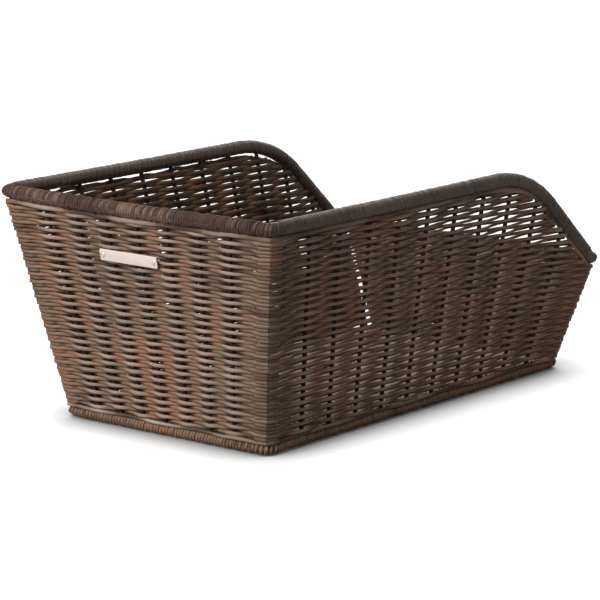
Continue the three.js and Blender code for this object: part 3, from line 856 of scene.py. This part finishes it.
def mottled(name, shade, grain, detail, tint, rough, bump=None, spread=(0.0, 1.0), surface=None):
    """A surface of one colour. One noise makes it lighter and darker, duller and glossier, and bumpy."""
    material, add = start_material(name)
    noise = grain_noise(add, grain, detail)
    depth = add("ShaderNodeMapRange", {
        "Value": noise, "From Min": spread[0], "From Max": spread[1], "To Min": tint[0], "To Max": tint[1],
    })
    mixed = add(
        "ShaderNodeMix", {0: 1.0, 6: tuple(shade), 7: depth}, data_type="RGBA", blend_type="MULTIPLY"
    )
    dull = add("ShaderNodeMapRange", {"Value": noise, "To Min": rough[0], "To Max": rough[1]})
    inputs = {"Base Color": mixed.outputs[2], "Roughness": dull, **(surface or {})}
    if bump:
        strength, height = bump
        inputs["Normal"] = add("ShaderNodeBump", {"Height": noise, "Strength": strength, "Distance": height})
    end_material(add, inputs)
    return material


def material_named(name, make, **details):
    """A material that was made before, or a new one."""
    return bpy.data.materials.get(name) or make(name, **details)


def wall_cane(finish):
    """The cane of walls, base and foot: brown and reddish strands among weathered olive ones."""
    # How much paler the crowns get: partly wear, partly a painted highlight
    return material_named(
        "stained_split_cane", stained_cane, pale=finish.cane_pale_wear_and_highlight, rubbed=0.9, gloss=0.24, rough=(0.5, 0.8),
        tones=(finish.cane_dark, finish.cane_olive, finish.cane_brown, finish.cane_red),
    )


def foot_highlight_cane(finish):
    """The paler strand that runs along the top of the foot, which took little of the stain."""
    return material_named(
        "pale_split_cane", stained_cane, pale=finish.cane_pale_wear_and_highlight, rubbed=0.6, gloss=0.2, rough=(0.5, 0.8),
        tones=(finish.cane_brown, finish.cane_olive, finish.cane_pale_wear_and_highlight),
    )


def binding_cane(finish):
    """The even grey-brown cane that is wound round the rims of the long sides."""
    return material_named(
        "grey_brown_binding_cane", stained_cane, pale=finish.binding_pale, rubbed=0.0, gloss=0.16,
        rough=(0.35, 0.5), tones=(finish.binding_dark, finish.binding, finish.binding_pale),
    )


def end_binding_cane(finish):
    """The darker, uneven cane that is wound round the rims of the two ends."""
    return material_named(
        "dark_binding_cane", stained_cane, pale=finish.end_pale, rubbed=0.0, gloss=0.2, rough=(0.5, 0.8),
        tones=(finish.end_dark, finish.end_brown, finish.end_pale),
    )


def stake_cane(finish):
    """Whole round cane, for stakes and cut ends: a dark even stain with long fibres and a dry surface."""
    return material_named(
        "round_stake_cane", mottled, shade=finish.stake, grain=(1.1 * MM, 1.1 * MM, 17 * MM), detail=3.0,
        spread=(0.3, 0.7), tint=(0.6, 1.4), rough=(0.5, 0.75), bump=(0.4, 0.2 * MM),
        surface={"Specular IOR Level": 0.15},
    )


def frame_wire(finish):
    """Steel wire dipped in brown plastic, for hoops, posts and bars: a low gloss with a slight peel."""
    return material_named(
        "brown_coated_wire", mottled, shade=finish.wire, grain=[1.1 * MM] * 3, detail=1.0,
        tint=(0.8, 1.2), rough=(0.35, 0.5), bump=(0.2, 0.1 * MM),
    )


def plate_enamel(finish):
    """Cream enamel fired on sheet steel: glossy, slightly wavy, and a little duller in places."""
    return material_named(
        "cream_fired_enamel", mottled, shade=finish.enamel, grain=[8 * MM] * 3, detail=4.0,
        tint=(0.85, 1.05), rough=(0.25, 0.5), bump=(0.15, 0.2 * MM),
    )


def rivet_steel(finish):
    """The steel of small turned rivet heads: a satin metal that catches the light a little unevenly."""
    return material_named(
        "turned_steel", mottled, shade=finish.steel, grain=[0.25 * MM] * 3, detail=2.0,
        tint=(0.8, 1.1), rough=(0.25, 0.5), surface={"Metallic": 1.0},
    )


# Pieces


def weave_inputs(weave, material, **changes):
    """The inputs of the weave tree for plain rows. A change's name has underscores for spaces."""
    inputs = {
        "Rows": 1, "First": weave.first, "Pitch": weave.pitch, "From Rim": 0.0, "Rim Gap": 0.0,
        "Uprights In A Wave": ROW_WAVE, "Out": 0.0, "Sway": weave.sway, "Peak": weave.plain_peak,
        "Tall": weave.wale_tall, "Thick": weave.thick, "Packed": 0.0, "At Rim": 1.0,
        "Crowd Over": weave.crowd_over, "Wander": weave.wander, "Wander Over": weave.wander_over,
        "Drift": weave.drift, "Drift Over": weave.drift_over, "Uneven": weave.uneven,
        "Uneven Over": weave.uneven_over, "Sides": STRAND_SIDES, "Seed": weave.seed, "Material": material,
    }
    inputs.update({label.replace("_", " "): value for label, value in changes.items()})
    return inputs


class BASKET_OT_walls(bpy.types.Operator):
    """Weave the four walls over and under their stakes, with a wale above the foot and below the rim"""

    bl_idname = "basket.walls"
    bl_label = "Weave walls"

    def execute(self, context):
        settings = context.scene.basket
        weave = settings.weave
        lines = Lines(settings.shape, settings.shape.wall_sharpness)
        tree = tree_named("weave_rows", weave_tree)
        for side in SIDES:
            stations = lines.stations(side, ROW_STEPS)
            if side == WEAVING_ORDER[-1]:
                # A row starts and ends at this corner, and its two ends leave a narrow slot
                stations = stations[:-weave.slot]
            run = [place["low"] for place in stations]
            attributes = {
                "far": [place["high"] for place in stations],
                "outward": [place["outward"] for place in stations],
                "rise": [place["high"].z - place["low"].z for place in stations],
                "beat": [place["beat"] for place in stations],
                "hug": [place["hug"] * weave.hug for place in stations],
            }
            meshes = {}
            for label, inputs in self.bands(settings, side, max(attributes["rise"])).items():
                guide = guide_mesh(side + "_" + label, [run], attributes)
                meshes[label] = grown(side + "_" + label, guide, tree, inputs)
            wall = [meshes["rows"], meshes["rim_wale"]]
            finished("woven_" + side, wall, ["wall_weave_" + side])
            finished("foot_wale_" + side, [meshes["foot_wale"]], [])
        return {"FINISHED"}

    @staticmethod
    def bands(settings, side, rise):
        """The inputs of a wall's plain rows, of the wale below its rim and of the wale above its foot."""
        weave = settings.weave
        wall = getattr(settings, side)
        cane = wall_cane(settings.finish)
        wale_height = weave.wale_rows * weave.wale_pitch
        first = weave.first + weave.foot_rows * weave.wale_pitch
        highest = rise - wall.rim_gap - wale_height
        return {
            "rows": weave_inputs(
                weave, cane, Rows=math.floor((highest - first) / weave.pitch) + 1, First=first,
                Rim_Gap=wall.rim_gap + wale_height * (1 - weave.tuck),
                Tall=wall.tall, Peak=wall.peak, Packed=wall.packed, At_Rim=wall.at_rim,
            ),
            "rim_wale": weave_inputs(
                weave, cane, Rows=weave.wale_rows, First=wall.rim_gap + weave.wale_pitch / 2,
                From_Rim=1.0, Pitch=weave.wale_pitch, Out=weave.wale_out, Sway=weave.wale_sway,
                Wander=wall.loose, Uprights_In_A_Wave=WALE_WAVE,
            ),
            # The wale above the foot is drawn in paler cane as a painted highlight
            "foot_wale": weave_inputs(
                weave, foot_highlight_cane(settings.finish), Rows=weave.foot_rows, Pitch=weave.wale_pitch,
                Tall=weave.foot_tall, Rim_Gap=wall.rim_gap, Out=weave.foot_out, Sway=weave.wale_sway,
                Uprights_In_A_Wave=WALE_WAVE,
            ),
        }


class BASKET_OT_base(bpy.types.Operator):
    """Weave the base across its bars"""

    bl_idname = "basket.base"
    bl_label = "Weave base"

    def execute(self, context):
        settings = context.scene.basket
        weave = settings.weave
        low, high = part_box("base_weave")
        bars = [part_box(name) for name in BASE_BARS]
        level = (bars[0][0].z + bars[0][1].z) / 2
        uprights = [low.y] + [(a.y + b.y) / 2 for a, b in bars] + [high.y]
        run = []
        beats = []
        for i, (here, onward) in enumerate(zip(uprights, uprights[1:])):
            for j in range(ROW_STEPS):
                run.append(Vector((low.x, here + (onward - here) * j / ROW_STEPS, level)))
                beats.append(i + j / ROW_STEPS)
        run.append(Vector((low.x, high.y, level)))
        beats.append(float(len(uprights) - 1))
        size = high.x - low.x
        attributes = {
            "far": [Vector((high.x, point.y, level)) for point in run],
            "outward": [Vector((0, 0, 1)) for point in run],
            "rise": [size for point in run],
            "beat": beats,
        }
        rows = math.ceil(size / weave.pitch)
        inputs = weave_inputs(
            weave, wall_cane(settings.finish), Rows=rows, Pitch=size / rows, First=size / rows / 2,
            Tall=weave.thick, Thick=weave.base_tall, Drift=0.0,
        )
        tree = tree_named("weave_rows", weave_tree)
        mesh = grown("woven_base", guide_mesh("base_rows", [run], attributes), tree, inputs)
        finished("woven_base", [mesh], ["base_weave"])
        return {"FINISHED"}


class BASKET_OT_borders(bpy.types.Operator):
    """Bind the rim and the foot with strands wound round them"""

    bl_idname = "basket.borders"
    bl_label = "Bind rim and foot"

    def execute(self, context):
        settings = context.scene.basket
        border = settings.border
        lines = Lines(settings.shape, settings.shape.border_sharpness)
        tree = tree_named("bound_border", binding_tree)
        for number, side in enumerate(SIDES):
            stations = lines.stations(side, BORDER_STEPS)
            outward = [place["outward"] for place in stations]
            at_end = side not in LONG_SIDES
            radius = border.rim if at_end else border.long_rim
            rim = [place["high"] + Vector((0, 0, border.rim - radius)) for place in stations]
            foot = [Vector((place["low"].x, place["low"].y, border.foot_up)) for place in stations]
            rim_cane = end_binding_cane if at_end else binding_cane
            rim_pitch = border.end_pitch if at_end else border.rim_pitch
            rim_inputs = {
                "Half Width": radius, "Half Height": radius, "Strand Width": border.rim_strand,
                "Strand Thickness": border.end_thick if at_end else border.rim_thick,
                "Uneven": border.end_uneven if at_end else border.uneven,
                "Material": rim_cane(settings.finish),
            }
            foot_inputs = {
                "Half Width": border.foot_out, "Half Height": border.foot_up,
                "Strand Width": border.foot_strand, "Strand Thickness": border.foot_thick,
                "Uneven": border.foot_uneven, "Material": wall_cane(settings.finish),
            }
            for label, run, pitch, taper, inputs in (
                ("rim", rim, rim_pitch, border.taper, rim_inputs),
                ("foot", foot, border.foot_pitch, 0.0, foot_inputs),
            ):
                last = len(run) - 1
                headings = [run[min(i + 1, last)] - run[max(i - 1, 0)] for i in range(len(run))]
                attributes = {
                    "outward": outward,
                    "upward": [out.cross(heading).normalized() for out, heading in zip(outward, headings)],
                    "girth": [1 - taper * place["hug"] for place in stations],
                }
                reach = sum((b - a).length for a, b in zip(run, run[1:]))
                inputs.update({
                    "Turns": round(reach / pitch), "Steps": TURN_STEPS, "Sides": BINDING_SIDES,
                    "Core Sides": CORE_SIDES, "Seed": number,
                })
                name = f"{label}_binding_{side}"
                mesh = grown(name, guide_mesh(name, [run], attributes), tree, inputs)
                finished(name, [mesh], [f"{label}_border_{side}"])
        return {"FINISHED"}


class BASKET_OT_uprights(bpy.types.Operator):
    """Set the stakes, the corner posts and the bars of the base"""

    bl_idname = "basket.uprights"
    bl_label = "Set uprights"

    def execute(self, context):
        settings = context.scene.basket
        shape = settings.shape
        lines = Lines(shape, 0.0)
        tree = tree_named("round_rods", rod_tree)
        stakes, stake_names, posts, post_names, bars = [], [], [], [], []
        for number, side in enumerate(SIDES):
            total = lines.stakes(side)
            for i in range(1, total + 1):
                place = lines.station(side, i / (total + 1))
                stakes.append([place["low"], place["high"]])
                stake_names.append(f"stake_{side}_{i}")
            corner = lines.station(side, 0, -HALF_CORNER)
            posts.append([corner["low"], corner["high"]])
            post_names.append(f"corner_post_{SIDES[number - 1]}_{side}")
        for name in BASE_BARS:
            low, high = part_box(name)
            middle = (low + high) / 2
            bars.append([Vector((low.x, middle.y, middle.z)), Vector((high.x, middle.y, middle.z))])
        cane, wire = stake_cane(settings.finish), frame_wire(settings.finish)
        for name, runs, nodes, diameter, material, slot in (
            ("stakes", stakes, stake_names, shape.stake, cane, "stake_cane"),
            ("corner_posts", posts, post_names, shape.post, wire, "frame_wire"),
            ("base_bars", bars, BASE_BARS, shape.post, wire, "frame_wire"),
        ):
            inputs = {
                "Bends": ROD_BENDS, "Sides": ROD_SIDES, "Diameter": diameter, "Stray": shape.crooked,
                "Stray Over": shape.crooked_over, "Material": material,
            }
            mesh = grown(name, guide_mesh(name, runs, {}), tree, inputs)
            finished(name, [mesh], nodes)
        return {"FINISHED"}


class BASKET_OT_plate(bpy.types.Operator):
    """Fix the blank plate to the tall end with two rivets"""

    bl_idname = "basket.plate"
    bl_label = "Fix plate"

    def execute(self, context):
        settings = context.scene.basket
        sizes = settings.plate
        place = Lines(settings.shape, 0.0).station("rear", 0.5)
        climb = (place["high"] - place["low"]).normalized()
        across = Vector((0, -1, 0))
        out = across.cross(climb).normalized()
        low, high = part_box("name_plate")
        middle = (low + high) / 2
        self.sheet(settings, middle, Matrix((across, climb, out)).transposed().to_4x4(), high - low)
        points = []
        for name in RIVETS:
            low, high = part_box(name)
            beside = Vector((0, (low.y + high.y) / 2 - middle.y, 0))
            points.append([middle + beside + out * sizes.thick / 2])
        head = bpy.data.objects.new("rivet_head", self.head(sizes))
        guide = guide_mesh("rivets", points, {"heading": [out] * len(points)})
        tree = tree_named("set_on_points", scatter_tree)
        mesh = grown("plate_rivets", guide, tree, {"Shape": head, "Material": rivet_steel(settings.finish)})
        bpy.data.objects.remove(head)
        finished("plate_rivets", [mesh], RIVETS)
        return {"FINISHED"}

    @staticmethod
    def sheet(settings, middle, turn, box):
        """The plate itself: a rounded rectangle of sheet with an eased front edge."""
        edge_steps = 3
        sharp = math.radians(35)
        sizes = settings.plate
        climb, out = turn.col[1], turn.col[2]
        tall = (box.z - sizes.thick * abs(out.z)) / climb.z
        shape = bmesh.new()
        outline = []
        for sx, sy, quarter in ((1, 1, 0), (-1, 1, 1), (-1, -1, 2), (1, -1, 3)):
            for i in range(ARC_STEPS + 1):
                bend = math.pi / 2 * (quarter + i / ARC_STEPS)
                x = sx * (box.y / 2 - sizes.corner) + sizes.corner * math.cos(bend)
                y = sy * (tall / 2 - sizes.corner) + sizes.corner * math.sin(bend)
                outline.append(shape.verts.new((x, y, -sizes.thick / 2)))
        back = shape.faces.new(outline)
        lifted = bmesh.ops.extrude_face_region(shape, geom=[back])
        front = [item for item in lifted["geom"] if isinstance(item, bmesh.types.BMVert)]
        bmesh.ops.translate(shape, verts=front, vec=(0, 0, sizes.thick))
        bmesh.ops.recalc_face_normals(shape, faces=shape.faces)
        front_edges = [e for e in shape.edges if e.verts[0].co.z > 0 and e.verts[1].co.z > 0]
        bmesh.ops.bevel(
            shape, geom=front_edges, offset=sizes.edge, segments=edge_steps, profile=0.5, affect="EDGES"
        )
        bmesh.ops.transform(shape, matrix=Matrix.Translation(middle) @ turn, verts=shape.verts)
        mesh = mesh_from("plate", shape)
        mesh.materials.append(plate_enamel(settings.finish))
        mesh.shade_smooth()
        mesh.set_sharp_from_angle(angle=sharp)
        finished("plate", [mesh], ["name_plate"])

    @staticmethod
    def head(sizes):
        """A rivet's domed head, turned about its axis, with a short neck that goes into the plate."""
        neck = sizes.thick / 3
        profile = [(sizes.rivet_head, -neck)]
        for i in range(ARC_STEPS + 1):
            bend = math.pi / 2 * i / ARC_STEPS
            profile.append((sizes.rivet_head * math.cos(bend), sizes.rivet_crown * math.sin(bend)))
        shape = bmesh.new()
        ring = [shape.verts.new((radius, 0, level)) for radius, level in profile]
        edges = [shape.edges.new(pair) for pair in zip(ring, ring[1:])]
        bmesh.ops.spin(
            shape, geom=ring + edges, cent=(0, 0, 0), axis=(0, 0, 1), angle=2 * math.pi, steps=RIVET_SIDES
        )
        bmesh.ops.remove_doubles(shape, verts=shape.verts, dist=0.01 * MM)
        bmesh.ops.holes_fill(shape, edges=[e for e in shape.edges if e.is_boundary])
        bmesh.ops.recalc_face_normals(shape, faces=shape.faces)
        return mesh_from("rivet_head", shape)


class BASKET_OT_cut_ends(bpy.types.Operator):
    """Leave the cut ends of strands inside the walls, as a weaver does"""

    bl_idname = "basket.cut_ends"
    bl_label = "Leave cut ends"

    def execute(self, context):
        ends_in_a_gap = 2
        along_wall = (0.06, 0.94)
        up_wall = (0.12, 0.85)
        inward = (0.1, 0.3)
        tilt = (-0.15, 0.15)
        settings = context.scene.basket
        weave = settings.weave
        radius = weave.thick / 2
        lines = Lines(settings.shape, 0.0)
        chance = random.Random(weave.seed)
        points = []
        headings = []
        for side in SIDES:
            for i in range(ends_in_a_gap * (lines.stakes(side) + 1)):
                place = lines.station(side, chance.uniform(*along_wall))
                onward = (lines.station(side, 1)["low"] - place["low"]).normalized()
                on_wall = place["low"].lerp(place["high"], chance.uniform(*up_wall))
                points.append([on_wall - place["outward"] * (weave.sway + radius)])
                heading = onward - place["outward"] * chance.uniform(*inward)
                heading.z += chance.uniform(*tilt)
                headings.append(heading.normalized() * chance.choice((-1, 1)))
        end = bpy.data.objects.new("cut_end", self.end(radius, weave.cut_end))
        guide = guide_mesh("cut_ends", points, {"heading": headings})
        tree = tree_named("set_on_points", scatter_tree)
        mesh = grown("cut_ends", guide, tree, {"Shape": end, "Material": stake_cane(settings.finish)})
        bpy.data.objects.remove(end)
        finished("cut_ends", [mesh], [])
        return {"FINISHED"}

    @staticmethod
    def end(radius, long):
        """One cut end: a short round stick, a little thinner at its tip."""
        tip = 0.8
        shape = bmesh.new()
        bmesh.ops.create_cone(
            shape, cap_ends=True, segments=STRAND_SIDES, radius1=radius, radius2=radius * tip, depth=long
        )
        return mesh_from("cut_end", shape)


class BASKET_OT_hoops(bpy.types.Operator):
    """Coat the wire hoops that are carried over from the packed frame"""

    bl_idname = "basket.hoops"
    bl_label = "Coat hoops"

    def execute(self, context):
        wire = frame_wire(context.scene.basket.finish)
        for name in HOOPS:
            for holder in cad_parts[name].material_slots:
                holder.material = wire
        return {"FINISHED"}


class BASKET_OT_stage(bpy.types.Operator):
    """Set up the floor, the light and the camera"""

    bl_idname = "basket.stage"
    bl_label = "Set stage"

    def execute(self, context):
        scene = context.scene
        stage = scene.basket.stage
        self.floor(scene, stage)
        self.room(scene, stage)
        self.lamp(scene, "key_lamp", Vector(stage.key_spot), stage.lamp_size, stage.key)
        self.lamp(scene, "fill_lamp", Vector(stage.fill_spot), stage.lamp_size, stage.fill)
        self.camera(scene, stage)
        scene.view_settings.view_transform = "Standard"
        return {"FINISHED"}

    @staticmethod
    def seen(add):
        """1 for what is looked at, straight or in a reflection, and 0 for what only gives light."""
        path = add("ShaderNodeLightPath").outputs
        mirrored = add(
            "ShaderNodeMath", {0: path["Is Glossy Ray"], 1: path["Is Transmission Ray"]},
            operation="MAXIMUM",
        )
        return add("ShaderNodeMath", {0: path["Is Camera Ray"], 1: mirrored}, operation="MAXIMUM")

    def floor(self, scene, stage):
        """A pale matt floor. It looks white, and keeps the basket's shadow and a dark line at the foot."""
        half = 12.0  # of the floor's width, in metres
        # Where the basket is near, ambient occlusion dims the floor's glow: a painted contact shadow
        shut_in, open_from = 0.4, 0.93  # the openness of the darkest floor and of floor that is clear
        darkest = 0.05
        corners = [(-half, -half, 0), (half, -half, 0), (half, half, 0), (-half, half, 0)]
        mesh = bpy.data.meshes.new("floor")
        mesh.from_pydata(corners, [], [(0, 1, 2, 3)])
        floor = bpy.data.objects.new("floor", mesh)
        scene.collection.objects.link(floor)
        material, add = start_material("pale_matt_paper")
        open_air = add("ShaderNodeAmbientOcclusion", {"Distance": stage.contact}).outputs["AO"]
        lifted = add("ShaderNodeMapRange", {
            "Value": open_air, "From Min": shut_in, "From Max": open_from,
            "To Min": darkest, "To Max": stage.lift,
        })
        glow = add("ShaderNodeMath", {0: lifted, 1: self.seen(add)}, operation="MULTIPLY")
        end_material(add, {
            "Base Color": tuple(scene.basket.finish.floor), "Roughness": 0.9,
            "Emission Color": WHITE, "Emission Strength": glow,
        })
        mesh.materials.append(material)

    def room(self, scene, stage):
        """An even white room, dimmer as a light than as a backdrop."""
        world = bpy.data.worlds.new("white_room")
        scene.world = world
        world.use_nodes = True
        world.node_tree.nodes.clear()
        add = partial(add_node, world.node_tree)
        strength = add(
            "ShaderNodeMapRange", {"Value": self.seen(add), "To Min": stage.room, "To Max": 1.0}
        )
        backdrop = add("ShaderNodeBackground", {"Color": WHITE, "Strength": strength})
        add("ShaderNodeOutputWorld", {"Surface": backdrop})

    @staticmethod
    def lamp(scene, name, place, size, power):
        """A large soft lamp that shines at the middle of the basket."""
        lamp = bpy.data.lights.new(name, "AREA")
        lamp.size = size
        lamp.energy = power
        holder = bpy.data.objects.new(name, lamp)
        holder.location = place
        holder.rotation_euler = (-place).to_track_quat("-Z", "Y").to_euler()
        scene.collection.objects.link(holder)

    @staticmethod
    def camera(scene, stage):
        """The photograph's camera, as found from the edges of the basket."""
        sensor_width = 36.0
        furthest_seen = 50.0
        level = math.cos(stage.elevation)
        back = Vector((
            math.sin(stage.azimuth) * level, -math.cos(stage.azimuth) * level, math.sin(stage.elevation)
        ))
        pivot = Vector((stage.pivot, 0, 0))
        aim = pivot + back.to_track_quat("Z", "Y") @ Vector((stage.aim_right, stage.aim_up, 0))
        data = bpy.data.cameras.new("camera")
        data.sensor_width = sensor_width
        data.lens = stage.lens
        data.clip_end = furthest_seen
        camera = bpy.data.objects.new("camera", data)
        camera.location = pivot + back * stage.distance
        camera.rotation_euler = (aim - camera.location).to_track_quat("-Z", "Y").to_euler()
        scene.collection.objects.link(camera)
        scene.camera = camera


class BASKET_PT_panel(bpy.types.Panel):
    """Lists the steps that make the basket"""

    bl_idname = "BASKET_PT_panel"
    bl_label = "Woven basket"
    bl_space_type = "VIEW_3D"
    bl_region_type = "UI"
    bl_category = "Basket"

    def draw(self, context):
        for operator in OPERATORS:
            self.layout.operator(operator.bl_idname)


OPERATORS = (
    BASKET_OT_hoops,
    BASKET_OT_uprights,
    BASKET_OT_base,
    BASKET_OT_walls,
    BASKET_OT_borders,
    BASKET_OT_cut_ends,
    BASKET_OT_plate,
    BASKET_OT_stage,
)
GROUPS = (
    BasketShape, WeaveSizes, RearWeave, RightWeave, FrontWeave, LeftWeave, BorderSizes, PlateSizes,
    Finishes, StageSettings, BasketSettings,
)
CLASSES = GROUPS + OPERATORS + (BASKET_PT_panel,)


def register():
    for kind in CLASSES:
        bpy.utils.register_class(kind)
    bpy.types.Scene.basket = PointerProperty(type=BasketSettings)


def unregister():
    del bpy.types.Scene.basket
    for kind in reversed(CLASSES):
        bpy.utils.unregister_class(kind)


def main():
    register()
    for operator in OPERATORS:
        group, name = operator.bl_idname.split(".")
        getattr(getattr(bpy.ops, group), name)()


if __name__ == "__main__":
    main()
